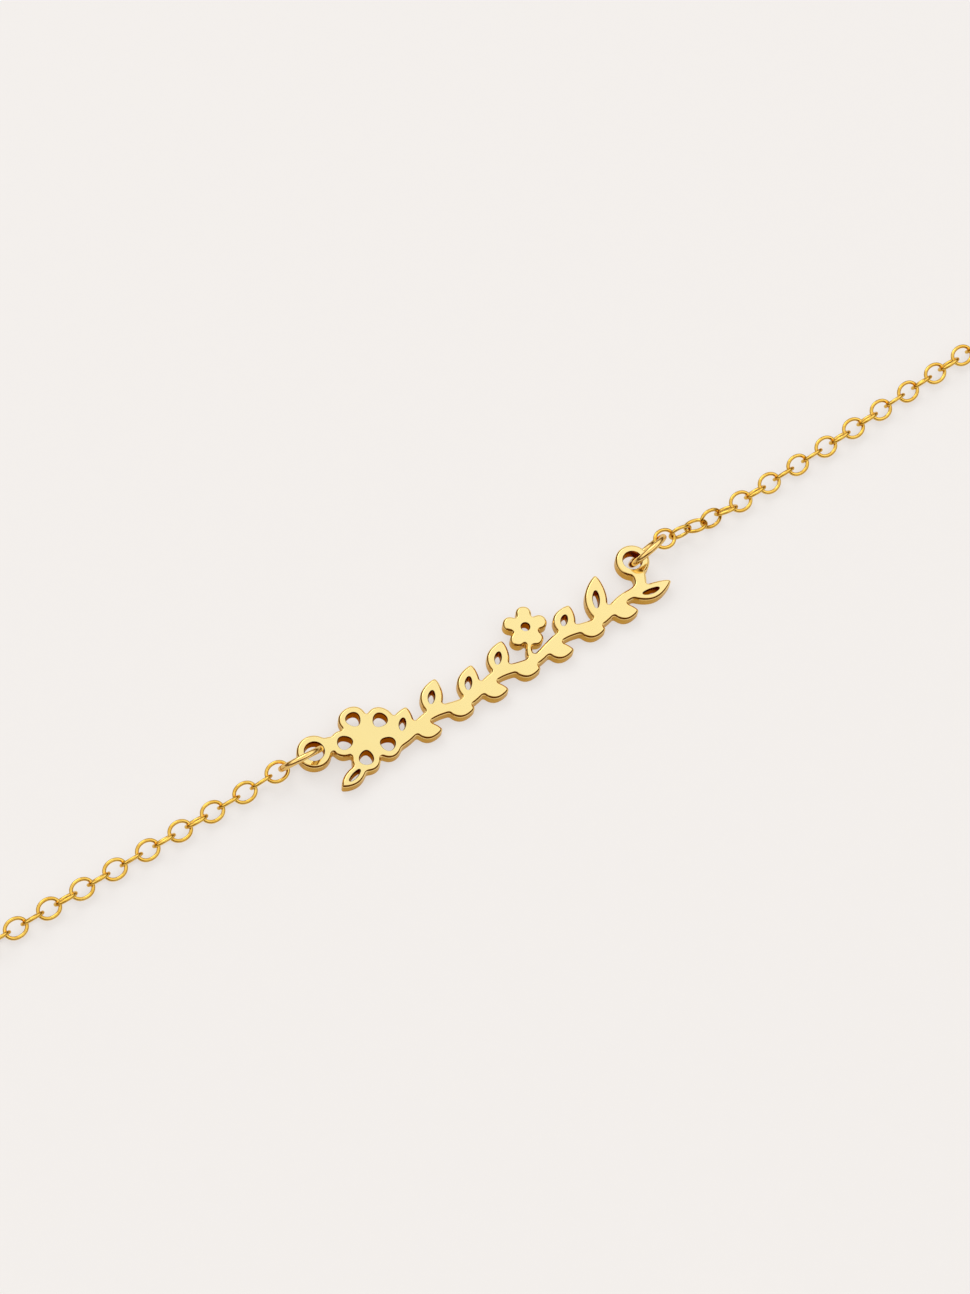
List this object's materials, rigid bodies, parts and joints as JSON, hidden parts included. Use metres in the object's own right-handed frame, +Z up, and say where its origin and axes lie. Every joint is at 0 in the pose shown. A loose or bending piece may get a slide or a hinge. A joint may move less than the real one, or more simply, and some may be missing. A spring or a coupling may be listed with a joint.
{
  "type": "nameplate bracelet",
  "caption": "Fine chain bracelet with a pierced ornamental plate held between two jump rings, closed by a spring ring clasp and laid flat.",
  "frame": {"origin": "centre of the laid-out bracelet's plan, on the table that it lies on", "axes": "+X along the plate from its left eyelet to its right one, +Y up the plate's face across the table, +Z up from the table"},
  "size_m": [0.0848, 0.0496, 0.0025],
  "materials": {
    "plate_gold": "mirror-polished yellow gold plating",
    "ring_gold": "polished yellow gold plating, a little paler",
    "chain_gold": "polished yellow gold plating, a little deeper in colour",
    "clasp_gold": "polished yellow gold plating"
  },
  "bodies": {
    "root": {"nameplate": "plate_gold", "jump_ring_left": "ring_gold", "jump_ring_right": "ring_gold", "chain_left": "chain_gold", "chain_right": "chain_gold", "clasp": "clasp_gold", "clasp_ring": "ring_gold", "end_ring": "ring_gold"}
  },
  "joints": []
}
